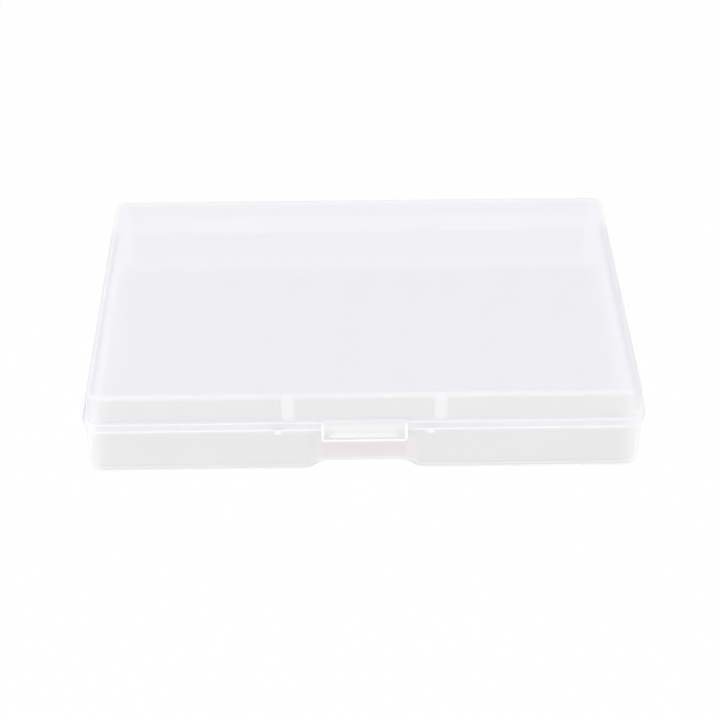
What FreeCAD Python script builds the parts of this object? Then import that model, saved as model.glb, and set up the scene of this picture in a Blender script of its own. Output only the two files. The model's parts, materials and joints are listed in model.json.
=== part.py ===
"""Flat hinged storage box, moulded in frosted polypropylene: a tray and a snap-on lid.

Millimetres. +X runs along the long side, +Y to the hinge side, +Z up. The origin is the
centre of the flat underside. Both mouldings are drawn in the closed position, from the
parting plane, where the skirt of the lid meets the ledge of the tray.
"""
import FreeCAD, Part
import math
import operator
import os
import Sketcher

# Driving sizes in millimetres, angles in degrees
SIZES = {
    # outside of the closed box
    "rim_length": 175.0,
    "rim_width": 120.5,
    "closed_height": 29.1,
    "corner_radius": 6.0,
    # both mouldings
    "wall": 1.4,
    "ledge_height": 16.8,
    "parting_gap": 0.1,
    # tray
    "tray_inset": 0.85,
    "tray_draft": 1.0,
    "foot_radius": 2.2,
    "floor_fillet": 0.8,
    "bead_height": 1.2,
    "bead_reach": 0.2,
    "tongue_wall": 0.7,
    "tongue_gap": 0.15,
    "tongue_headroom": 0.2,
    # finger recess in the front wall of the tray
    "recess_width": 29.8,
    "recess_blend": 9.6,
    "recess_depth": 4.2,
    # lid
    "lid_step": 1.2,
    "lid_draft": 2.5,
    "lid_edge_radius": 2.0,
    "roof_fillet": 0.7,
    "skirt_height": 3.0,
    "skirt_edge_radius": 0.4,
    # stiffening ribs inside the front wall of the lid
    "rib_spacing": 47.4,
    "rib_width": 4.2,
    "rib_depth": 1.2,
    "rib_lift": 0.3,
    # locating lugs on the front rim of the tray
    "lug_width": 2.1,
    "lug_offset": 3.1,
    "lug_reach": 0.15,
    "lug_drop": 0.65,
    "lug_gap": 0.3,
    # latch tab on the lid
    "tab_width": 26.7,
    "tab_wall": 0.9,
    "tab_drop": 3.7,
    "tab_gap": 0.4,
    "tab_straight": 3.1,
    "tab_border": 0.9,
    "tab_border_height": 0.45,
    "tab_corner_radius": 1.2,
    "hook_width": 20.3,
    "hook_height": 0.9,
    "hook_catch": 0.35,
    "hook_gap": 0.1,
    "hook_lead": 0.45,
    # snap hinge
    "hinge_spacing": 89.4,
    "hinge_width": 31.6,
    "hinge_setback": 1.8,
    "pin_radius": 1.1,
    "pin_gap": 0.06,
    "clip_wall": 1.1,
    "clip_end_gap": 0.5,
    "clip_mouth": 1.7,
    "clip_root": 2.4,
    "clip_headroom": 0.15,
    "ear_width": 1.8,
    "ear_radius": 1.5,
}

doc = FreeCAD.newDocument("StorageBox")
sheet = doc.addObject("Spreadsheet::Sheet", "Sizes")
for row, (alias, number) in enumerate(SIZES.items(), start=1):
    sheet.set(f"A{row}", alias)
    sheet.set(f"B{row}", str(number))
    sheet.setAlias(f"B{row}", alias)
doc.recompute()


class Size:
    """A number together with the formula over the sheet's cells that gives it."""

    OPERATIONS = {"+": operator.add, "-": operator.sub, "*": operator.mul, "/": operator.truediv}

    def __init__(self, value, formula):
        self.value = value
        self.formula = formula

    def combine(self, sign, other):
        if not isinstance(other, Size):
            other = Size(float(other), str(other))
        value = self.OPERATIONS[sign](self.value, other.value)
        return Size(value, f"({self.formula} {sign} {other.formula})")

    def __add__(self, other):
        return self.combine("+", other)

    def __sub__(self, other):
        return self.combine("-", other)

    def __mul__(self, other):
        return self.combine("*", other)

    def __truediv__(self, other):
        return self.combine("/", other)

    def __neg__(self):
        return self.combine("*", -1)


def size(alias):
    return Size(float(sheet.get(alias)), f"Sizes.{alias}")


def tangent(angle):
    return Size(math.tan(math.radians(angle.value)), f"tan({angle.formula} * 1deg)")


ZERO = Size(0.0, "0")

# Sketcher counts the places on a curve up from 1, and the two axes of a sketch down from -1.
# The origin is the start of the X axis.
START, END, CENTRE = range(1, 4)
X_AXIS, Y_AXIS = range(-1, -3, -1)
ORIGIN = X_AXIS


def origin_plane(body, role):
    return next(f for f in body.Origin.OriginFeatures if f.Role == role)


def new_sketch(body, name, plane, offset=ZERO):
    """A sketch on an origin plane of the body, moved along the plane's normal."""
    sketch = body.newObject("Sketcher::SketchObject", name)
    sketch.AttachmentSupport = (origin_plane(body, plane), [""])
    sketch.MapMode = "FlatFace"
    sketch.AttachmentOffset.Base = FreeCAD.Vector(0, 0, offset.value)
    sketch.setExpression("AttachmentOffset.Base.z", offset.formula)
    return sketch


def dimension(sketch, kind, places, amount, name):
    index = sketch.addConstraint(Sketcher.Constraint(kind, *places, amount.value))
    sketch.renameConstraint(index, name)
    sketch.setExpression(f"Constraints.{name}", amount.formula)


def relation(sketch, kind, *places):
    sketch.addConstraint(Sketcher.Constraint(kind, *places))


def line(x1, y1, x2, y2):
    return Part.LineSegment(FreeCAD.Vector(x1, y1, 0), FreeCAD.Vector(x2, y2, 0))


def arc(x, y, radius, start, end):
    circle = Part.Circle(FreeCAD.Vector(x, y, 0), FreeCAD.Vector(0, 0, 1), radius)
    return Part.ArcOfCircle(circle, math.radians(start), math.radians(end))


def join_smoothly(sketch, chain):
    """Make each piece of a closed chain of (geometry, first end, last end) meet the next tangentially."""
    for here, after in zip(chain, chain[1:] + chain[:1]):
        relation(sketch, "Tangent", here[0], here[2], after[0], after[1])


def rounded_rectangle(sketch, length, width, radius, tag=""):
    """Four sides and four equal corner arcs, centred on the origin."""
    x, y, r = length.value / 2, width.value / 2, radius.value
    front, corner_1, right, corner_2, back, corner_3, left, corner_4 = sketch.addGeometry([
        line(r - x, -y, x - r, -y),
        arc(x - r, r - y, r, -90, 0),
        line(x, r - y, x, y - r),
        arc(x - r, y - r, r, 0, 90),
        line(x - r, y, r - x, y),
        arc(r - x, y - r, r, 90, 180),
        line(-x, y - r, -x, r - y),
        arc(r - x, r - y, r, 180, 270),
    ])
    sides = (front, corner_1, right, corner_2, back, corner_3, left, corner_4)
    join_smoothly(sketch, [(side, START, END) for side in sides])
    relation(sketch, "Symmetric", front, START, front, END, Y_AXIS)
    relation(sketch, "Symmetric", right, START, right, END, X_AXIS)
    relation(sketch, "Horizontal", back)
    relation(sketch, "Vertical", left)
    for corner in (corner_2, corner_3, corner_4):
        relation(sketch, "Equal", corner_1, corner)
    dimension(sketch, "DistanceX", (left, START, right, START), length, f"length{tag}")
    dimension(sketch, "DistanceY", (front, START, back, START), width, f"width{tag}")
    dimension(sketch, "Radius", (corner_1,), radius, f"corner{tag}")


def inset_rectangle(sketch, inset, tag=""):
    """The outline of the rim, inset evenly."""
    rounded_rectangle(sketch, size("rim_length") - inset * 2, size("rim_width") - inset * 2,
                      size("corner_radius") - inset, tag)


def recessed_rectangle(sketch, inset):
    """The tray's plan outline, inset evenly: a rounded rectangle whose front side steps back
    into the finger recess through two S curves. An S curve is two arcs that meet tangentially."""
    length = size("rim_length") - (size("tray_inset") + inset) * 2
    width = size("rim_width") - (size("tray_inset") + inset) * 2
    radius = size("corner_radius") - size("tray_inset") - inset
    mouth = size("recess_width") + size("recess_blend")
    floor = size("recess_width") - size("recess_blend")
    depth, blend = size("recess_depth"), size("recess_blend")
    even_radius = (blend * blend + depth * depth) / (depth * 4)
    outer_radius, inner_radius = even_radius - inset, even_radius + inset
    turn = math.degrees(2 * math.atan(depth.value / blend.value))
    x, y, r = length.value / 2, width.value / 2, radius.value
    mouth_x, floor_x = mouth.value / 2, floor.value / 2
    outer_y = outer_radius.value - y
    inner_y = depth.value - y - inner_radius.value
    (front_left, leave_left, enter_left, floor_line, enter_right, leave_right, front_right,
     corner_1, right, corner_2, back, corner_3, left, corner_4) = sketch.addGeometry([
        line(r - x, -y, -mouth_x, -y),
        arc(-mouth_x, outer_y, outer_radius.value, 270, 270 + turn),
        arc(-floor_x, inner_y, inner_radius.value, 90, 90 + turn),
        line(-floor_x, depth.value - y, floor_x, depth.value - y),
        arc(floor_x, inner_y, inner_radius.value, 90 - turn, 90),
        arc(mouth_x, outer_y, outer_radius.value, 270 - turn, 270),
        line(mouth_x, -y, x - r, -y),
        arc(x - r, r - y, r, -90, 0),
        line(x, r - y, x, y - r),
        arc(x - r, y - r, r, 0, 90),
        line(x - r, y, r - x, y),
        arc(r - x, y - r, r, 90, 180),
        line(-x, y - r, -x, r - y),
        arc(r - x, r - y, r, 180, 270),
    ])
    forward = (front_left, leave_left, floor_line, leave_right, front_right,
               corner_1, right, corner_2, back, corner_3, left, corner_4)
    chain = [(side, START, END) for side in forward]
    chain.insert(2, (enter_left, END, START))
    chain.insert(4, (enter_right, END, START))
    join_smoothly(sketch, chain)
    for side in (front_left, front_right, back):
        relation(sketch, "Horizontal", side)
    relation(sketch, "Vertical", left)
    relation(sketch, "Symmetric", front_left, START, front_right, END, Y_AXIS)
    relation(sketch, "Symmetric", floor_line, START, floor_line, END, Y_AXIS)
    relation(sketch, "Symmetric", right, START, right, END, X_AXIS)
    relation(sketch, "Equal", leave_left, leave_right)
    relation(sketch, "Equal", enter_left, enter_right)
    for corner in (corner_2, corner_3, corner_4):
        relation(sketch, "Equal", corner_1, corner)
    dimension(sketch, "DistanceX", (left, START, right, START), length, "length")
    dimension(sketch, "DistanceY", (front_left, START, back, START), width, "width")
    dimension(sketch, "Radius", (corner_1,), radius, "corner")
    dimension(sketch, "DistanceX", (front_left, END, front_right, START), mouth, "recess_mouth")
    dimension(sketch, "DistanceX", (floor_line, START, floor_line, END), floor, "recess_floor")
    dimension(sketch, "DistanceY", (front_left, END, floor_line, START), depth, "recess_depth")
    dimension(sketch, "Radius", (leave_left,), outer_radius, "recess_outer_radius")


def polygon(sketch, corners):
    """Straight sides through corners that are each placed from the origin."""
    points = [(x.value, y.value) for x, y in corners]
    sides = sketch.addGeometry([line(*a, *b) for a, b in zip(points, points[1:] + points[:1])])
    for index, (side, (x, y)) in enumerate(zip(sides, corners)):
        relation(sketch, "Coincident", sides[index - 1], END, side, START)
        dimension(sketch, "DistanceX", (ORIGIN, START, side, START), x, f"x{index}")
        dimension(sketch, "DistanceY", (ORIGIN, START, side, START), y, f"y{index}")


def circle(sketch, x, y, radius, tag=""):
    ring = sketch.addGeometry(Part.Circle(
        FreeCAD.Vector(x.value, y.value, 0), FreeCAD.Vector(0, 0, 1), radius.value))
    dimension(sketch, "DistanceX", (ORIGIN, START, ring, CENTRE), x, f"x{tag}")
    dimension(sketch, "DistanceY", (ORIGIN, START, ring, CENTRE), y, f"y{tag}")
    dimension(sketch, "Radius", (ring,), radius, f"radius{tag}")


def extrude(body, kind, sketch, depth, backwards=False, both_ways=False, draft=None):
    """Pad or pocket a sketch. A draft makes the section shrink with distance from the sketch."""
    before = body.Tip.Shape.Volume if body.Tip else 0.0
    feature = body.newObject(f"PartDesign::{kind}", sketch.Name + kind)
    feature.Profile = sketch
    feature.setExpression("Length", depth.formula)
    feature.Reversed = backwards
    feature.Midplane = both_ways
    if draft is not None:
        feature.setExpression("TaperAngle", (-draft).formula)
    doc.recompute()
    gained = feature.Shape.Volume - before
    if (kind == "Pad") != (gained > 0):
        raise RuntimeError(f"{feature.Name} changed the volume by {gained:.3f} mm3")
    return feature


def round_edges(body, name, radius, wanted):
    """Fillet the edges of the body so far that the test picks out."""
    base = body.Tip
    picked = [f"Edge{i}" for i, edge in enumerate(base.Shape.Edges, 1) if wanted(edge.BoundBox)]
    fillet = body.newObject("PartDesign::Fillet", name)
    fillet.Base = (base, picked)
    fillet.setExpression("Radius", radius.formula)
    doc.recompute()
    return fillet


def mirror_in_x(body, name, features):
    mirrored = body.newObject("PartDesign::Mirrored", name)
    mirrored.Originals = features
    mirrored.MirrorPlane = (origin_plane(body, "YZ_Plane"), [""])
    body.Tip = mirrored
    doc.recompute()
    return mirrored


def repeat_in_x(body, name, features, distance):
    pattern = body.newObject("PartDesign::LinearPattern", name)
    pattern.Originals = features
    pattern.Direction = (origin_plane(body, "X_Axis"), [""])
    pattern.Occurrences = 2
    pattern.setExpression("Length", distance.formula)
    body.Tip = pattern
    doc.recompute()
    return pattern


# Heights and depths that both mouldings share
wall = size("wall")
ledge = size("ledge_height")
parting = ledge + size("parting_gap")
skirt_top = parting + size("skirt_height")
skirt_roof = skirt_top - wall
closed_height = size("closed_height")
roof = closed_height - wall
half_width = size("rim_width") / 2
cover_inner_face = half_width - size("lid_step") - wall
skirt_inner_face = half_width - wall
tongue_face = skirt_inner_face - size("tongue_gap")
tray_face = half_width - size("tray_inset")
bead_face = tray_face + size("bead_reach")
bead_bottom = ledge - size("bead_height")
tongue_top = skirt_roof - size("tongue_headroom")
lug_face = bead_face + size("lug_reach")
rib_x = size("rib_spacing") / 2
lug_x = rib_x + size("lug_offset")
hinge_x = size("hinge_spacing") / 2
axis_y = half_width + size("hinge_setback")
axis_z = parting
clip_bore = size("pin_radius") + size("pin_gap")
clip_radius = clip_bore + size("clip_wall")
clip_width = size("hinge_width") - size("clip_end_gap") * 2
TOLERANCE = 0.01


def make_tray():
    """The lower moulding: drafted walls, finger recess, ledge, tongue, lugs and hinge clips."""
    body = doc.addObject("PartDesign::Body", "tray")
    outline = new_sketch(body, "TrayOutline", "XY_Plane", ledge)
    recessed_rectangle(outline, ZERO)
    extrude(body, "Pad", outline, ledge, backwards=True, draft=size("tray_draft"))
    round_edges(body, "TrayFoot", size("foot_radius"), lambda box: box.ZMax < TOLERANCE)

    # The bead is a plate for now. The cavity opens it, and leaves the lip over the recess.
    bead = new_sketch(body, "LedgeBead", "XY_Plane", bead_bottom)
    inset_rectangle(bead, size("tray_inset") - size("bead_reach"))
    extrude(body, "Pad", bead, size("bead_height"))

    cavity = new_sketch(body, "TrayCavity", "XY_Plane", ledge)
    recessed_rectangle(cavity, wall)
    extrude(body, "Pocket", cavity, ledge - wall, draft=size("tray_draft"))
    floor_height = wall.value
    round_edges(body, "TrayFloorFillet", size("floor_fillet"), lambda box: (
        abs(box.ZMin - floor_height) < TOLERANCE and abs(box.ZMax - floor_height) < TOLERANCE))

    tongue = new_sketch(body, "Tongue", "XY_Plane", ledge)
    inset_rectangle(tongue, wall + size("tongue_gap"), "_outer")
    inset_rectangle(tongue, wall + size("tongue_gap") + size("tongue_wall"), "_inner")
    extrude(body, "Pad", tongue, tongue_top - ledge)

    make_lugs(body)
    make_clips(body)
    return body


def make_lugs(body):
    """Two short upright ridges on the front rim, which key into notches inside the skirt."""
    lug = new_sketch(body, "LocatingLug", "YZ_Plane", -lug_x)
    root_y = -(tray_face - wall / 2)
    bottom = bead_bottom - size("lug_drop")
    polygon(lug, [(root_y, bottom), (-lug_face, bottom), (-lug_face, tongue_top), (root_y, tongue_top)])
    pad = extrude(body, "Pad", lug, size("lug_width"), both_ways=True)
    repeat_in_x(body, "LocatingLugs", [pad], size("rib_spacing"))


def make_clips(body):
    """Two long C-section clips behind the back wall, which snap over the pins of the lid."""
    clip = new_sketch(body, "HingeClip", "YZ_Plane", hinge_x)
    circle(clip, axis_y, axis_z, clip_radius)
    barrel = extrude(body, "Pad", clip, clip_width, both_ways=True)

    web = new_sketch(body, "HingeClipWeb", "YZ_Plane", hinge_x)
    root_y = tray_face - wall / 2
    polygon(web, [(root_y, axis_z - size("clip_root")), (axis_y, axis_z - clip_radius), (axis_y, axis_z),
                  (axis_y - clip_radius, axis_z), (root_y, ledge)])
    gusset = extrude(body, "Pad", web, clip_width, both_ways=True)

    bore = new_sketch(body, "HingeClipBore", "YZ_Plane", hinge_x)
    circle(bore, axis_y, axis_z, clip_bore)
    hole = extrude(body, "Pocket", bore, clip_width, both_ways=True)

    # The mouth faces up and back at 45 degrees, and is narrower than the pin that snaps through it
    mouth = new_sketch(body, "HingeClipMouth", "YZ_Plane", hinge_x)
    across = size("clip_mouth") / (2 * math.sqrt(2))
    polygon(mouth, [(axis_y - across, axis_z + across), (axis_y + across, axis_z - across),
                    (axis_y + clip_radius + across, axis_z + clip_radius - across),
                    (axis_y + clip_radius - across, axis_z + clip_radius + across)])
    slot = extrude(body, "Pocket", mouth, clip_width, both_ways=True)
    mirror_in_x(body, "HingeClips", [barrel, gusset, hole, slot])


def make_lid():
    """The upper moulding: drafted cover, stepped skirt, ribs, latch tab and hinge pins."""
    body = doc.addObject("PartDesign::Body", "lid")
    cover = new_sketch(body, "CoverOutline", "XY_Plane", skirt_top)
    inset_rectangle(cover, size("lid_step"))
    extrude(body, "Pad", cover, closed_height - skirt_top, draft=size("lid_draft"))
    top = closed_height.value
    round_edges(body, "CoverEdge", size("lid_edge_radius"), lambda box: box.ZMin > top - TOLERANCE)

    skirt = new_sketch(body, "Skirt", "XY_Plane", parting)
    inset_rectangle(skirt, ZERO)
    extrude(body, "Pad", skirt, size("skirt_height"))
    round_edges(body, "SkirtEdge", size("skirt_edge_radius"), on_skirt_top)

    recess = new_sketch(body, "SkirtRecess", "XY_Plane", parting)
    inset_rectangle(recess, wall)
    extrude(body, "Pocket", recess, skirt_roof - parting, backwards=True)
    cavity = new_sketch(body, "CoverCavity", "XY_Plane", skirt_roof)
    inset_rectangle(cavity, size("lid_step") + wall)
    extrude(body, "Pocket", cavity, roof - skirt_roof, backwards=True, draft=size("lid_draft"))
    round_edges(body, "RoofFillet", size("roof_fillet"), lambda box: (
        abs(box.ZMin - roof.value) < TOLERANCE and abs(box.ZMax - roof.value) < TOLERANCE))

    make_ribs(body)
    make_lug_notches(body)
    make_tab(body)
    make_pins(body)
    return body


def on_skirt_top(box):
    """Whether an edge is part of the outer edge of the skirt's step, and not of the cover's foot."""
    level = abs(box.ZMin - skirt_top.value) < TOLERANCE and abs(box.ZMax - skirt_top.value) < TOLERANCE
    reach_x, reach_y = max(-box.XMin, box.XMax), max(-box.YMin, box.YMax)
    return level and (reach_x > (size("rim_length") / 2).value - TOLERANCE
                      or reach_y > half_width.value - TOLERANCE)


def make_ribs(body):
    """Two upright ribs on the inside of the front wall, from the roof to behind the tongue."""
    rib = new_sketch(body, "Rib", "YZ_Plane", -rib_x)
    bottom, top = parting + size("rib_lift"), roof + wall / 2
    lean = (top - bottom) * tangent(size("lid_draft"))
    crest = size("rib_depth") - cover_inner_face
    polygon(rib, [(-cover_inner_face, bottom), (-cover_inner_face, top), (crest + lean, top), (crest, bottom)])
    pad = extrude(body, "Pad", rib, size("rib_width"), both_ways=True)
    repeat_in_x(body, "Ribs", [pad], size("rib_spacing"))


def make_lug_notches(body):
    """Blind notches inside the front skirt, which take the locating lugs of the tray."""
    notch = new_sketch(body, "LugNotch", "YZ_Plane", -lug_x)
    mouth_y = wall / 2 - skirt_inner_face
    end_y = -(lug_face + size("tongue_gap"))
    polygon(notch, [(mouth_y, parting), (end_y, parting), (end_y, skirt_roof), (mouth_y, skirt_roof)])
    pocket = extrude(body, "Pocket", notch, size("lug_width") + size("lug_gap") * 2, both_ways=True)
    repeat_in_x(body, "LugNotches", [pocket], size("rib_spacing"))


def make_tab(body):
    """The latch tab: a face that leans out from the foot of the cover and then drops past the
    skirt, a raised border round three sides, and a hook inside that catches under the lip."""
    foot = (-(half_width - size("lid_step")), skirt_top)
    inner_y = -(bead_face + size("tab_gap"))
    web_y = inner_y - size("tab_wall")
    border_y = web_y - size("tab_border_height")
    bottom = parting - size("tab_drop")
    bend = bottom + size("tab_straight")

    clearing = new_sketch(body, "TabClearing", "YZ_Plane")
    polygon(clearing, [foot, (border_y, bend), (border_y, skirt_top)])
    extrude(body, "Pocket", clearing, size("tab_width"), both_ways=True)
    tab = new_sketch(body, "Tab", "YZ_Plane")
    polygon(tab, [foot, (border_y, bend), (border_y, bottom), (inner_y, bottom),
                  (inner_y, parting + wall / 4)])
    extrude(body, "Pad", tab, size("tab_width"), both_ways=True)
    side, low = (size("tab_width") / 2).value, bottom.value
    round_edges(body, "TabCorners", size("tab_corner_radius"), lambda box: (
        box.XLength < TOLERANCE and abs(abs(box.XMin) - side) < TOLERANCE and box.ZMax < low + TOLERANCE))

    panel = new_sketch(body, "TabPanel", "YZ_Plane")
    sill = bottom + size("tab_border")
    polygon(panel, [foot, (web_y, bend), (web_y, sill), (border_y, sill), (border_y, skirt_top)])
    extrude(body, "Pocket", panel, size("tab_width") - size("tab_border") * 2, both_ways=True)

    hook = new_sketch(body, "Hook", "YZ_Plane")
    nose_y = size("hook_catch") - bead_face
    hook_top = bead_bottom - size("hook_gap")
    hook_bottom = hook_top - size("hook_height")
    root_y = inner_y - size("tab_wall") / 2
    polygon(hook, [(root_y, hook_top), (nose_y, hook_top), (nose_y, hook_bottom + size("hook_lead")),
                   (inner_y, hook_bottom), (root_y, hook_bottom)])
    extrude(body, "Pad", hook, size("hook_width"), both_ways=True)


def make_pins(body):
    """Two hinge pins, each held between two ears across a cut-out in the back of the skirt."""
    ears = new_sketch(body, "Ears", "YZ_Plane", hinge_x)
    root_y = half_width - wall / 2
    shoulder = skirt_top - size("skirt_edge_radius")
    polygon(ears, [(root_y, parting), (axis_y, axis_z - size("ear_radius")),
                   (axis_y, axis_z + size("ear_radius")), (half_width, shoulder), (root_y, shoulder)])
    ear_span = size("hinge_width") + size("ear_width") * 2
    webs = extrude(body, "Pad", ears, ear_span, both_ways=True)
    ends = new_sketch(body, "EarEnds", "YZ_Plane", hinge_x)
    circle(ends, axis_y, axis_z, size("ear_radius"))
    discs = extrude(body, "Pad", ends, ear_span, both_ways=True)

    cut = new_sketch(body, "HingeCutOut", "YZ_Plane", hinge_x)
    back, low = axis_y + clip_radius, axis_z - clip_radius
    high = axis_z + clip_radius + size("clip_headroom")
    polygon(cut, [(skirt_inner_face, low), (back, low), (back, high), (skirt_inner_face, high)])
    opening = extrude(body, "Pocket", cut, size("hinge_width"), both_ways=True)

    pin = new_sketch(body, "Pin", "YZ_Plane", hinge_x)
    circle(pin, axis_y, axis_z, size("pin_radius"))
    rod = extrude(body, "Pad", pin, size("hinge_width") + size("ear_width"), both_ways=True)
    mirror_in_x(body, "HingePins", [webs, discs, opening, rod])


bodies = [make_tray(), make_lid()]
for thing in doc.Objects:
    if "Invalid" in thing.State or "Error" in thing.State:
        raise RuntimeError(f"{thing.Name} did not build: {thing.State}")
for body in bodies:
    if body.Shape.isNull() or not body.Shape.isValid() or len(body.Shape.Solids) != 1:
        raise RuntimeError(f"{body.Label} is not one valid solid")

os.makedirs("parts", exist_ok=True)
for body in bodies:
    body.Shape.exportStep(f"parts/{body.Label}.step")
    print(f"{body.Label}: {body.Shape.Volume / 1000:.2f} cm3, {len(body.Shape.Faces)} faces")
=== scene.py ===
# %% [markdown]
# The object is a flat storage box, 175 mm long, with a lid that swings on two snap hinges at the
# back and closes with a latch tab at the front. Tray and lid are each one injection moulding in
# natural polypropylene, and the steel of the mould was lightly frosted, so the plastic is
# colourless, milky and smooth at once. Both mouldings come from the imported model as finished
# solids. This script gives them their finish, a white board, soft light and a camera.

# %% Load the box
import json
import math

import bpy
from mathutils import Matrix, Vector


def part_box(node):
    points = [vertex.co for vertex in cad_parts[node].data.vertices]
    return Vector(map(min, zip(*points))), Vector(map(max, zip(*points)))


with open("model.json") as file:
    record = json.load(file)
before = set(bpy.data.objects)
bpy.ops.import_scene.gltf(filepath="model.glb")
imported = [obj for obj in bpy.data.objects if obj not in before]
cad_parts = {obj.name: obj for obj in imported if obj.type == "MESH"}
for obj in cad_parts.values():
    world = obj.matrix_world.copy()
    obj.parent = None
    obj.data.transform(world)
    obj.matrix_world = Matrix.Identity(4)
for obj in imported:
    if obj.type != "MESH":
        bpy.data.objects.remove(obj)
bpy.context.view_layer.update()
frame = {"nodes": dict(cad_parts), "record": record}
tray, lid = frame["nodes"]["tray"], frame["nodes"]["lid"]
print("pieces:", sorted(frame["nodes"]))

# %% [markdown]
# The camera is a long lens in front of the box, looking down on it. Its place is written as an
# aiming point on the board, a distance from it, an elevation above the board and a small turn
# about the vertical. The camera's own axes follow from these, and a slight roll ends the fit.

# %% Camera
MM = 0.001
IMAGE_SIDE = 720
SENSOR = 36.0
FOCAL_PIXELS = 1983.0
ELEVATION = math.radians(35.48)
TURN = -0.0123
ROLL = -0.0046
DISTANCE = 673.1 * MM
AIM = Vector((-0.56, 0.77, 0.0)) * MM

away = Vector((math.sin(TURN) * math.cos(ELEVATION), -math.cos(TURN) * math.cos(ELEVATION),
               math.sin(ELEVATION)))
level = Vector((math.cos(TURN), math.sin(TURN), 0.0))
upright = away.cross(level)
across = level * math.cos(ROLL) + upright * math.sin(ROLL)
above = upright * math.cos(ROLL) - level * math.sin(ROLL)
lens = bpy.data.cameras.new("camera")
lens.sensor_width = SENSOR
lens.lens = FOCAL_PIXELS / IMAGE_SIDE * SENSOR
camera = bpy.data.objects.new("camera", lens)
bpy.context.scene.collection.objects.link(camera)
turned = Matrix((across, above, away)).transposed()
camera.matrix_world = Matrix.Translation(AIM + away * DISTANCE) @ turned.to_4x4()
bpy.context.scene.camera = camera
bpy.context.scene.view_settings.view_transform = "Standard"
print("lens:", round(lens.lens, 1), "mm at", round(DISTANCE / MM), "mm")

# %% [markdown]
# Every material below is a small tree of shader nodes. One function adds a node, sets its
# properties and sockets and links its inputs, so that each step of a material is one statement.


# %% Node helpers
def linear(code):
    """An sRGB hex code as linear red, green, blue and alpha."""
    channels = [int(code[i:i + 2], 16) / 255 for i in (0, 2, 4)]
    return (*(c / 12.92 if c <= 0.04045 else ((c + 0.055) / 1.055) ** 2.4 for c in channels), 1.0)


def add(tree, kind, settings=None, links=None):
    """Add a node, set its properties or sockets by name or number, and link its inputs."""
    node = tree.nodes.new("ShaderNode" + kind)
    for name, value in (settings or {}).items():
        if isinstance(name, str) and hasattr(node, name):
            setattr(node, name, value)
        else:
            node.inputs[name].default_value = value
    for name, source in (links or {}).items():
        tree.links.new(source, node.inputs[name])
    return node


def new_material(name):
    """A material with an empty node tree."""
    material = bpy.data.materials.new(name)
    material.use_nodes = True
    material.node_tree.nodes.clear()
    return material


# %% [markdown]
# Natural polypropylene scatters light a little on its way through. A wall of 1.4 mm lets most of it
# pass, so the inside of the box shows as a blur. Where the plastic is thicker, or where the eye looks
# along a wall and not through it, it scatters more and turns whiter: the rims, the ribs, the latch tab
# and the rounded edges stand out as pale lines. The pale band on the rounded top edge is also a painted
# highlight. Each such place is marked by a mask, which is 1 in a box given in the object's own
# millimetres and fades out around it.
#
# Masks are numbers between 0 and 1, so they are joined with plain arithmetic. The distance over
# which a mask fades has a name, from hard to broad.

# %% Masks
FAR = 100.0
EVERYWHERE = (-FAR, FAR)
HARD, SHARP, CRISP, SOFT, WIDE, BROAD = 0.1, 0.15, 0.2, 0.4, 0.8, 2.0


def outside(tree, mask):
    """The rest of space."""
    return add(tree, "Math", {"operation": "SUBTRACT", 0: 1.0}, {1: mask}).outputs[0]


def weaker(tree, mask, strength):
    """A mask at a part of its strength."""
    return add(tree, "Math", {"operation": "MULTIPLY", 1: strength}, {0: mask}).outputs[0]


def overlap(tree, masks):
    """Where all of several masks meet."""
    total = masks[0]
    for mask in masks[1:]:
        total = add(tree, "Math", {"operation": "MULTIPLY"}, {0: total, 1: mask}).outputs[0]
    return total


def strongest(tree, masks):
    """The highest of several masks at each point."""
    total = masks[0]
    for mask in masks[1:]:
        total = add(tree, "Math", {"operation": "MAXIMUM"}, {0: total, 1: mask}).outputs[0]
    return total


def span(half, y, z):
    """The two corners of a box that reaches as far left as right, from its ranges on y and z."""
    return (-half, y[0], z[0]), (half, y[1], z[1])


def right_and_left(start, end, y, z):
    """The corners of a box on the right, and of its mirror image on the left."""
    return [((start, y[0], z[0]), (end, y[1], z[1])), ((-end, y[0], z[0]), (-start, y[1], z[1]))]


def zone_mask(tree, place, corners, fade):
    """1 in the box between two corners, falling smoothly to 0 over the fade outside, all in mm.

    The fade is one number, or one for each of the three axes.
    """
    spread = fade if isinstance(fade, tuple) else (fade, fade, fade)
    centre = [(a + b) / 2 for a, b in zip(*corners)]
    half = [(b - a) / 2 for a, b in zip(*corners)]
    offset = add(tree, "VectorMath", {"operation": "SUBTRACT", 1: centre}, {0: place})
    distance = add(tree, "VectorMath", {"operation": "ABSOLUTE"}, {0: offset.outputs[0]})
    excess = add(tree, "VectorMath", {"operation": "SUBTRACT", 1: half}, {0: distance.outputs[0]})
    ratio = add(tree, "VectorMath", {"operation": "DIVIDE", 1: spread}, {0: excess.outputs[0]})
    axes = add(tree, "SeparateXYZ", links={0: ratio.outputs[0]})
    limits = {"From Min": 0.0, "From Max": 1.0, "To Min": 1.0, "To Max": 0.0}
    return add(tree, "MapRange", {"interpolation_type": "SMOOTHSTEP", **limits},
               {"Value": strongest(tree, axes.outputs)}).outputs[0]


# %% [markdown]
# The zones follow the parts of the two mouldings. The lid's own extent gives the length of the
# box, its top and the lower edge of the latch tab, and the hinge of the record gives the height
# where lid and tray part. The rest are sizes of the mouldings that no extent tells: the wall, the
# ledge bead under the rim, the skirt, the ribs, the lugs beside them, the tab with its hook, the
# finger recess below it and the two hinges. The front of the box faces towards -Y.

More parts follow.
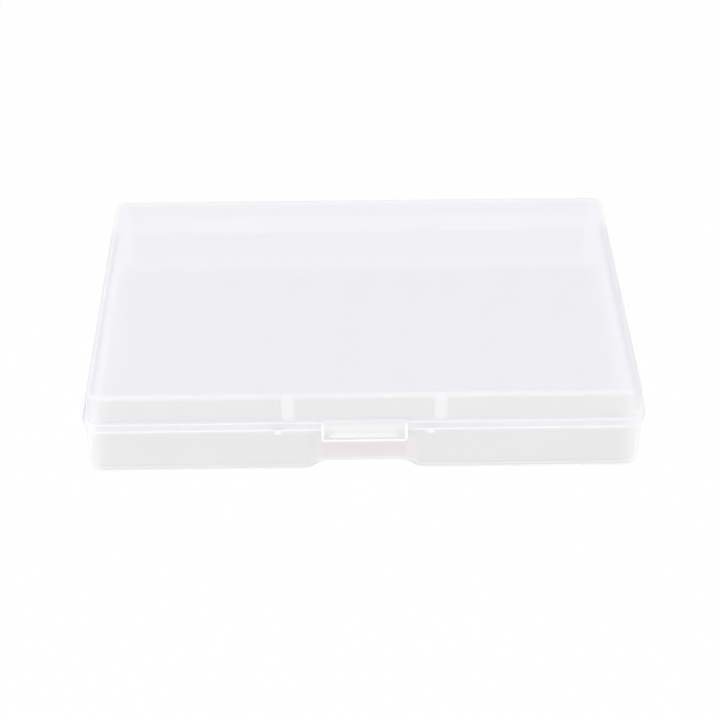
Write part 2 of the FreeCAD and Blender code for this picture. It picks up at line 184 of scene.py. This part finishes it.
# %% Sizes in millimetres
lid_low, lid_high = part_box("lid")
TAB_PROUD = 1.1
HALF_LENGTH = lid_high[0] / MM
HALF_WIDTH = -lid_low[1] / MM - TAB_PROUD
LID_TOP = lid_high[2] / MM
TAB_BOTTOM = lid_low[2] / MM
PARTING = frame["record"]["behaviour"]["joints"][0]["pos_m"][2] / MM
SKIRT_TOP = PARTING + 3.0
LEDGE = PARTING - 0.1
BEAD_BOTTOM = LEDGE - 1.2
WALL, LID_STEP, TRAY_INSET = 1.4, 1.2, 0.85
FOOT_RADIUS = 2.2
RECESS_WIDTH, RECESS_DEPTH = 29.8, 4.2
RIB_X, RIB_WIDTH = 23.7, 4.2
LUG_SHIFT, LUG_WIDTH = 3.1, 2.1
TAB_WIDTH, TAB_BORDER = 26.7, 0.9
HOOK_WIDTH, HOOK_BOTTOM, HOOK_TOP = 20.3, 14.6, 15.5
HINGE_START, HINGE_END = 28.0, 60.5
print("box:", round(2 * HALF_LENGTH, 1), "by", round(2 * HALF_WIDTH, 1), "by", round(LID_TOP, 1), "mm")

# %% [markdown]
# Only the outer faces turn pale, and only those that light reaches: a pale patch inside the box
# or at its back would stand in the shade of the walls and read as a dirty mark, while the real
# plastic passes light on from one wall to the next. The outer faces are what is left of space
# without the room between the walls, and that room stops a touch short of them.

# %% Bands and bars
TOUCH = 0.05
BAR_DEPTH, BACK_MARGIN = 2.4, 4.0


def room_inside(tree, place, inset, z):
    """The space between the walls, from a distance inside the outline of the box."""
    y = HALF_WIDTH - inset
    return zone_mask(tree, place, span(HALF_LENGTH - inset, (-y, y), z), SHARP)


def level_band(tree, place, z, fade, strength):
    """A band of the given heights that runs right round the box."""
    return weaker(tree, zone_mask(tree, place, span(FAR, EVERYWHERE, z), fade), strength)


def front_bar(tree, place, x, width, z, strength):
    """An upright bar at the front wall between two heights."""
    corners = (x - width / 2, -FAR, z[0]), (x + width / 2, BAR_DEPTH - HALF_WIDTH, z[1])
    return weaker(tree, zone_mask(tree, place, corners, SOFT), strength)


def all_but_back(tree, place):
    """Everything in front of the back wall."""
    return zone_mask(tree, place, span(FAR, (-FAR, HALF_WIDTH - BACK_MARGIN), EVERYWHERE), BROAD)


# %% [markdown]
# On the tray, the ledge bead is pale, and a little more so along its lower edge. The rounded foot
# is pale too, also where it follows the finger recess inwards, but not the flat underside. The
# two lugs stand a little to the left of the ribs of the lid, and go up behind its skirt.

# %% Where the tray is pale
BEAD, BEAD_EDGE = (BEAD_BOTTOM, LEDGE), (BEAD_BOTTOM - 0.1, BEAD_BOTTOM + 0.1)
ROUNDING, UNDERSIDE = (-1.0, FOOT_RADIUS * 0.4), (-1.0, 1.0)
LUG_HEIGHTS = (BEAD_BOTTOM - 0.65, LEDGE + 3.0)
FOOT_INSET, MOUTH_MARGIN, RECESS_MARGIN = 3.2, 3.0, 0.8
BEAD_PALE, BEAD_EDGE_PALE, FOOT_PALE, LUG_PALE = 0.25, 0.5, 0.3, 0.75


def foot_zone(tree, place):
    """The foot along the outline and along the finger recess, without the flat underside."""
    x, y = HALF_LENGTH - FOOT_INSET, HALF_WIDTH - FOOT_INSET
    mouth, depth = RECESS_WIDTH / 2 + MOUTH_MARGIN, RECESS_DEPTH + RECESS_MARGIN - HALF_WIDTH
    flat = zone_mask(tree, place, span(x, (-y, y), UNDERSIDE), WIDE)
    recess = zone_mask(tree, place, span(mouth, (-FAR, depth), UNDERSIDE), WIDE)
    return strongest(tree, [outside(tree, flat), recess])


def pale_on_tray(tree, place):
    """The ledge bead, the rounded foot and the two locating lugs, on the outer faces."""
    room = room_inside(tree, place, TRAY_INSET + WALL - TOUCH, (WALL - TOUCH, FAR))
    masks = [
        level_band(tree, place, BEAD, CRISP, BEAD_PALE),
        level_band(tree, place, BEAD_EDGE, SHARP, BEAD_EDGE_PALE),
        overlap(tree, [level_band(tree, place, ROUNDING, SOFT, FOOT_PALE), foot_zone(tree, place)]),
    ]
    for rib in (-RIB_X, RIB_X):
        masks.append(front_bar(tree, place, rib - LUG_SHIFT, LUG_WIDTH, LUG_HEIGHTS, LUG_PALE))
    return overlap(tree, [strongest(tree, masks), outside(tree, room), all_but_back(tree, place)])


# %% [markdown]
# On the lid, the skirt is pale with brighter edges, and so are the rounded edge of the top and the two
# ribs. The band along the rounded edge of the top is also a painted highlight. The latch tab is the
# palest part, because it stands free and is thick. Inside its border it is a little thinner, and so it
# is beside the hook on its rear face.

# %% Where the lid is pale
SKIRT, RIM_EDGE = (PARTING, SKIRT_TOP), (SKIRT_TOP - 0.2, SKIRT_TOP)
LOWER_EDGE, CREASE = (PARTING - 1.0, PARTING + 0.3), (LID_TOP - 0.8, LID_TOP)
SKIRT_FADE, CREASE_FADE, PLATE_FADE = 0.3, 0.6, 1.2
RIM_DEPTH, CREASE_INSET, TOP_DEPTH, RIB_TRIM = 0.35, 3.8, 4.0, 0.6
# The crease strength also paints a highlight along the rounded top edge.
SKIRT_PALE, RIM_PALE, CREASE_PALE_AND_HIGHLIGHT, RIB_PALE = 0.45, 0.8, 0.42, 0.35
TAB_ROOT = (-FAR, 0.5 - HALF_WIDTH)
TAB_HEIGHTS, PANEL_HEIGHTS = (10.0, SKIRT_TOP), (TAB_BOTTOM + TAB_BORDER, SKIRT_TOP - 0.6)
HOLLOW_START, HOLLOW_END = HOOK_WIDTH / 2 - 0.2, HOOK_WIDTH / 2 + 1.8
TAB_PALE, PANEL_LOSS, HOLLOW_LOSS, HOOK_PALE = 0.9, 0.27, 0.3, 0.9


def pale_on_tab(tree, place, tab):
    """The latch tab, less pale in the panel inside its border and beside the hook behind it."""
    inner = TAB_WIDTH / 2 - TAB_BORDER
    panel = zone_mask(tree, place, span(inner, EVERYWHERE, PANEL_HEIGHTS), SHARP)
    hook = zone_mask(tree, place, span(HOOK_WIDTH / 2, EVERYWHERE, (HOOK_BOTTOM, HOOK_TOP)), CRISP)
    sides = right_and_left(HOLLOW_START, HOLLOW_END, EVERYWHERE, (HOOK_BOTTOM, PARTING))
    hollow = strongest(tree, [zone_mask(tree, place, corners, SOFT) for corners in sides])
    face = overlap(tree, [outside(tree, weaker(tree, panel, PANEL_LOSS)),
                          outside(tree, weaker(tree, hollow, HOLLOW_LOSS))])
    face = strongest(tree, [face, weaker(tree, hook, HOOK_PALE)])
    return overlap(tree, [tab, weaker(tree, face, TAB_PALE)])


def pale_on_lid(tree, place):
    """The skirt, the edges with a painted highlight on the rounded top edge, the ribs and the latch
    tab, on the outer faces.
    """
    cover = room_inside(tree, place, LID_STEP + WALL - TOUCH, (-FAR, LID_TOP - WALL + TOUCH))
    skirt = room_inside(tree, place, WALL - 2 * TOUCH, (-FAR, SKIRT_TOP - WALL + TOUCH))
    rim = outside(tree, room_inside(tree, place, RIM_DEPTH, EVERYWHERE))
    x, y = HALF_LENGTH - CREASE_INSET, HALF_WIDTH - CREASE_INSET
    plate = zone_mask(tree, place, span(x, (-y, y), EVERYWHERE), PLATE_FADE)
    tab = zone_mask(tree, place, span(TAB_WIDTH / 2, TAB_ROOT, TAB_HEIGHTS), CRISP)
    # The band along the rounded top edge: pale plastic and a painted highlight.
    crease_and_highlight = level_band(tree, place, CREASE, CREASE_FADE, CREASE_PALE_AND_HIGHLIGHT)
    masks = [
        level_band(tree, place, SKIRT, SKIRT_FADE, SKIRT_PALE),
        overlap(tree, [level_band(tree, place, RIM_EDGE, CRISP, RIM_PALE), rim]),
        overlap(tree, [level_band(tree, place, LOWER_EDGE, CRISP, 1.0), outside(tree, tab)]),
        overlap(tree, [crease_and_highlight, outside(tree, plate)]),
        pale_on_tab(tree, place, tab),
    ]
    for rib in (-RIB_X, RIB_X):
        masks.append(front_bar(tree, place, rib, RIB_WIDTH - RIB_TRIM, (PARTING, LID_TOP), RIB_PALE))
    top = zone_mask(tree, place, span(FAR, EVERYWHERE, (LID_TOP - TOP_DEPTH, FAR)), BROAD)
    lit = strongest(tree, [all_but_back(tree, place), top])
    return overlap(tree, [strongest(tree, masks), outside(tree, strongest(tree, [cover, skirt])), lit])


# %% [markdown]
# The plastic is a Principled surface that passes nearly all of the light and blurs it: that is
# the frost. The real index of refraction of polypropylene is 1.49. A render follows a ray through
# a limited number of surfaces, and with 1.49 many rays stay caught in a closed double-walled box
# and come back black along its edges. An index close to 1 lets them out. The blur of the
# roughness stays, so the plastic still looks frosted and not clear.
#
# The broad faces scatter 12% of the light, which gives them their milky body. The side walls, the back
# wall and the rounded foot pass it all, because the eye meets them edge on or behind other faces, and
# the painted shade below gives them their tone.
#
# A fine grain from the spark-eroded mould tilts the surface and varies its roughness. The real
# grain is about 0.03 mm and too fine to show, so it is drawn ten times coarser. Clouds a few
# millimetres wide are the uneven haze of the melt as it filled the mould.

# %% Frosted polypropylene
BROAD_TRANSMISSION, EDGE_TRANSMISSION = 0.88, 1.0
SIDE_DEPTH = 3.2
FOOT_TOP = FOOT_RADIUS * 0.6
ROUGH_LOW, ROUGH_HIGH = 0.6, 0.75
REFRACTION = 1.01
PALE_COLOUR = "FEFEFF"
CLOUD_SIZE, CLOUD_SHARE, CLOUD_DETAIL = 9.0, 0.05, 3.0
CLOUD_LOW, CLOUD_HIGH = 0.35, 0.65
GRAIN_SIZE, GRAIN_DEPTH, GRAIN_STRENGTH, GRAIN_DETAIL = 0.35, 0.02, 0.5, 2.0
GRAIN_LOW, GRAIN_HIGH = 0.3, 0.7


def broad_faces(tree, place):
    """The front, the top and the floor, without the side walls, the back wall and the foot."""
    x, y = HALF_LENGTH - SIDE_DEPTH, HALF_WIDTH - SIDE_DEPTH
    front = zone_mask(tree, place, span(x, (-FAR, y), (FOOT_TOP, FAR)), (HARD, HARD, SOFT))
    plates = zone_mask(tree, place, span(x, (-y, y), EVERYWHERE), HARD)
    return strongest(tree, [front, plates])


def frosted_polypropylene(name, clear_colour, painted_shade, find_pale):
    """Milky plastic that lets most light through and scatters it where the moulding is thick, with
    painted shade mixed into its colour.
    """
    material = new_material(name)
    tree = material.node_tree
    coordinates = add(tree, "TexCoord")
    place = add(tree, "VectorMath", {"operation": "SCALE", "Scale": 1 / MM},
                {0: coordinates.outputs["Object"]}).outputs[0]
    broad = broad_faces(tree, place)
    clouds = add(tree, "TexNoise", {"Scale": 1 / CLOUD_SIZE, "Detail": CLOUD_DETAIL},
                 {"Vector": place})
    haze = add(tree, "MapRange", {"From Min": CLOUD_LOW, "From Max": CLOUD_HIGH,
                                  "To Max": CLOUD_SHARE}, {"Value": clouds.outputs[0]})
    pale = add(tree, "Math", {"operation": "ADD", "use_clamp": True},
               {0: find_pale(tree, place), 1: overlap(tree, [haze.outputs[0], broad])}).outputs[0]
    grain = add(tree, "TexNoise", {"Scale": 1 / GRAIN_SIZE, "Detail": GRAIN_DETAIL},
                {"Vector": place})
    relief = add(tree, "Bump", {"Strength": GRAIN_STRENGTH, "Distance": GRAIN_DEPTH * MM},
                 {"Height": grain.outputs[0]})
    roughness = add(tree, "MapRange", {"From Min": GRAIN_LOW, "From Max": GRAIN_HIGH,
                                       "To Min": ROUGH_LOW, "To Max": ROUGH_HIGH},
                    {"Value": grain.outputs[0]})
    colour = add(tree, "RGB")
    colour.outputs[0].default_value = linear(clear_colour)
    # Mix the painted shade of each zone into the colour, then the pale plastic over it.
    painted_zones = [(zone_mask(tree, place, corners, fade), code) for corners, fade, code in painted_shade]
    for zone, code in painted_zones + [(pale, PALE_COLOUR)]:
        colour = add(tree, "MixRGB", {"Color2": linear(code)},
                     {"Fac": zone, "Color1": colour.outputs[0]})
    share = add(tree, "MapRange", {"To Min": EDGE_TRANSMISSION, "To Max": BROAD_TRANSMISSION},
                {"Value": broad})
    surface = add(tree, "BsdfPrincipled", {"IOR": REFRACTION}, {
        "Base Color": colour.outputs[0],
        "Roughness": roughness.outputs[0],
        "Normal": relief.outputs[0],
        "Transmission Weight": overlap(tree, [share.outputs[0], outside(tree, pale)])})
    add(tree, "OutputMaterial", links={"Surface": surface.outputs[0]})
    return material


def finish(piece, material):
    """Give a moulding its one material."""
    piece.data.materials.clear()
    piece.data.materials.append(material)
    print(piece.name, "has", len(material.node_tree.nodes), "nodes in", material.name)


# %% [markdown]
# The light and shade of the box are painted into the colour of its faces, zone by zone. Each row is a
# box, the distance over which it fades and its colour, and each row covers what came before it. The
# colours are close to white, because the eye looks through two to six faces and they multiply. The
# front walls are seen squarely, against the shaded inside, so they get a painted shade greyer than the
# top. The top and the skirt get a painted lavender cast of the cool light from above, and the recess a
# warm painted shadow under the latch tab.
#
# The painted shade of the top of the closed box is split between the lid and the floor of the tray, so
# both keep some, and both still show on the white board when the lid is open.

# %% Painted shade of the two mouldings
LID_COLOUR, TRAY_COLOUR = "FEFEFF", "FEFEFE"
FLAT_END, SIDE = HALF_LENGTH - 8.5, HALF_LENGTH - 3.5
UNDER_TOP = LID_TOP - 2.4
FRONT_UPPER, BACK_UPPER = 24.0, 22.5
FOOT_LINE, FLOOR_TOP, FOOT_CLEAR, RECESS_TOP = 1.7, 2.0, 2.4, 14.5
FRONT, FRONT_AND_CORNERS = (-FAR, 3 - HALF_WIDTH), (-FAR, 8 - HALF_WIDTH)
FRONT_AND_RECESS, INSIDE = (-FAR, 6 - HALF_WIDTH), (4 - HALF_WIDTH, HALF_WIDTH - 2.5)
BACK, BACK_OF_TRAY = (HALF_WIDTH - 4, FAR), (HALF_WIDTH - 4, HALF_WIDTH)
HINGE_HEIGHTS = (PARTING, SKIRT_TOP + 1.5)

# Painted shade and a painted lavender cast of light on the lid, zone by zone.
LID_PAINTED_SHADE = [
    # Painted shade on the front with its corners, then painted shade with a lavender cast of cool light
    # on the top.
    (span(FLAT_END + 3, FRONT_AND_CORNERS, (PARTING, UNDER_TOP)), (5, 3, 0.5), "FDFDFE"),
    (span(SIDE, EVERYWHERE, (UNDER_TOP, FAR)), (1.5, 1, 1), "F9F8FB"),
    # Painted shade on the flat of the front wall, darker on its upper part under the top edge, with a
    # lavender cast on the skirt, and on the foot of the latch tab.
    (span(FLAT_END, FRONT, (-FAR, UNDER_TOP)), (8, 1, 1), "F4F4F3"),
    (span(FLAT_END, FRONT, (FRONT_UPPER, UNDER_TOP)), (8, 1, 3), "F3F3F2"),
    (span(FLAT_END, FRONT, (PARTING, SKIRT_TOP)), (8, 1, 0.5), "F2F0F5"),
    (span(TAB_WIDTH / 2, FRONT, (PARTING, SKIRT_TOP)), (0.3, 1, 0.5), "F3F3F5"),
    # Painted shade on the back wall, darker on its upper part.
    (span(FLAT_END + 1, BACK, (-FAR, UNDER_TOP)), (3, 0.2, 1), "FBFBFB"),
    (span(FLAT_END + 1, BACK, (BACK_UPPER, UNDER_TOP)), (3, 0.2, 1), "F7F8F7"),
]
# The two hinges are left out of the painted shade of the back wall, so they stand clear as light
# patches.
for hinge in right_and_left(HINGE_START, HINGE_END, BACK, HINGE_HEIGHTS):
    LID_PAINTED_SHADE.append((hinge, (0.6, 0.2, 0.5), "FFFFFF"))

# Painted shade on the side walls comes first on the tray.
TRAY_PAINTED_SHADE = [(wall, 1.5, "FBFBFC")
              for wall in right_and_left(SIDE, FAR, EVERYWHERE, (-FAR, BEAD_BOTTOM))]
TRAY_PAINTED_SHADE += [
    # Painted shade on the front with its corners and on the flat of the front wall, a warm painted
    # shadow in the recess under the latch tab, and a painted dark line of shade along the foot.
    (span(SIDE, FRONT_AND_CORNERS, (FLOOR_TOP, LEDGE)), (4, 3, 0.8), "FCFCFC"),
    (span(FLAT_END, FRONT, (FLOOR_TOP, LEDGE)), (8, 1, 0.8), "F3F2F1"),
    (span(RECESS_WIDTH / 2 - 6, FRONT_AND_RECESS, (FOOT_CLEAR, RECESS_TOP)), (9, 1, 0.8), "EEEAE6"),
    (span(FLAT_END + 1, FRONT_AND_RECESS, (FOOT_LINE, FLOOR_TOP)), (5, 1, 0.4), "DEDDDD"),
    # Painted shade on the back wall and on the floor, which carries part of the painted shade of the
    # top.
    (span(FLAT_END + 1, BACK_OF_TRAY, (FOOT_CLEAR, BEAD_BOTTOM)), (3, 0.2, 0.5), "F6F7F6"),
    (span(FLAT_END + 3, INSIDE, (-FAR, FLOOR_TOP)), (5, 1, 0.3), "F5F5F6"),
]
finish(tray, frosted_polypropylene("frosted_polypropylene_tray", TRAY_COLOUR, TRAY_PAINTED_SHADE, pale_on_tray))
finish(lid, frosted_polypropylene("frosted_polypropylene_lid", LID_COLOUR, LID_PAINTED_SHADE, pale_on_lid))

# %% [markdown]
# The box stands on a white board. The board is a matt surface that takes the shadow of the box,
# mixed with its own white glow for rays that reach it from the camera, directly or through the
# plastic. That is how an overexposed white studio looks, and it adds no light to the object. The
# board lies a hair below the box, so that the two faces don't fight for the same place.

# %% Board
BOARD_SIDE = 3.0
BOARD_COLOUR = "FCFCFC"
GLOW_SHARE = 0.97
AIR_GAP = 0.1 * MM


def rays_from_camera(tree):
    """1 for rays that the eye follows: straight from the camera, mirrored or through plastic."""
    path = add(tree, "LightPath")
    kinds = ("Is Camera Ray", "Is Glossy Ray", "Is Transmission Ray")
    return strongest(tree, [path.outputs[kind] for kind in kinds])


half = BOARD_SIDE / 2
outline = [(-half, -half), (half, -half), (half, half), (-half, half)]
mesh = bpy.data.meshes.new("floor")
mesh.from_pydata([(x, y, -AIR_GAP) for x, y in outline], [], [(0, 1, 2, 3)])
floor = bpy.data.objects.new("floor", mesh)
bpy.context.scene.collection.objects.link(floor)
material = new_material("matt_white_board")
tree = material.node_tree
share = weaker(tree, rays_from_camera(tree), GLOW_SHARE)
board = add(tree, "BsdfDiffuse", {"Color": linear(BOARD_COLOUR)})
glow = add(tree, "Emission", {"Strength": 1.0})
surface = add(tree, "MixShader", links={0: share, 1: board.outputs[0], 2: glow.outputs[0]})
add(tree, "OutputMaterial", links={"Surface": surface.outputs[0]})
floor.data.materials.append(material)
print("board:", BOARD_SIDE, "m square")

# %% [markdown]
# The object stands in a white light tent: even light from all sides, with one large softbox low
# in front, which lifts the upright faces, the rims and the ribs. The tent itself looks pure white,
# and lights the object at a lower strength, so that the pale plastic keeps its shades.

# %% Light
TENT_STRENGTH = 0.8
SOFTBOX_PLACE = Vector((-0.3, -1.2, 0.75))
SOFTBOX_WIDTH, SOFTBOX_HEIGHT = 1.6, 1.2
SOFTBOX_WATTS = 6.3

world = bpy.data.worlds.new("studio")
bpy.context.scene.world = world
world.use_nodes = True
world.node_tree.nodes.clear()
tree = world.node_tree
strength = add(tree, "MapRange", {"To Min": TENT_STRENGTH, "To Max": 1.0},
               {"Value": rays_from_camera(tree)})
tent = add(tree, "Background", {"Color": linear("FFFFFF")}, {"Strength": strength.outputs[0]})
add(tree, "OutputWorld", links={"Surface": tent.outputs[0]})

lamp = bpy.data.lights.new("softbox", "AREA")
lamp.shape = "RECTANGLE"
lamp.size = SOFTBOX_WIDTH
lamp.size_y = SOFTBOX_HEIGHT
lamp.energy = SOFTBOX_WATTS
softbox = bpy.data.objects.new("softbox", lamp)
softbox.location = SOFTBOX_PLACE
softbox.rotation_euler = (-SOFTBOX_PLACE).to_track_quat("-Z", "Y").to_euler()
bpy.context.scene.collection.objects.link(softbox)
print("softbox:", SOFTBOX_WATTS, "W, tent:", TENT_STRENGTH)
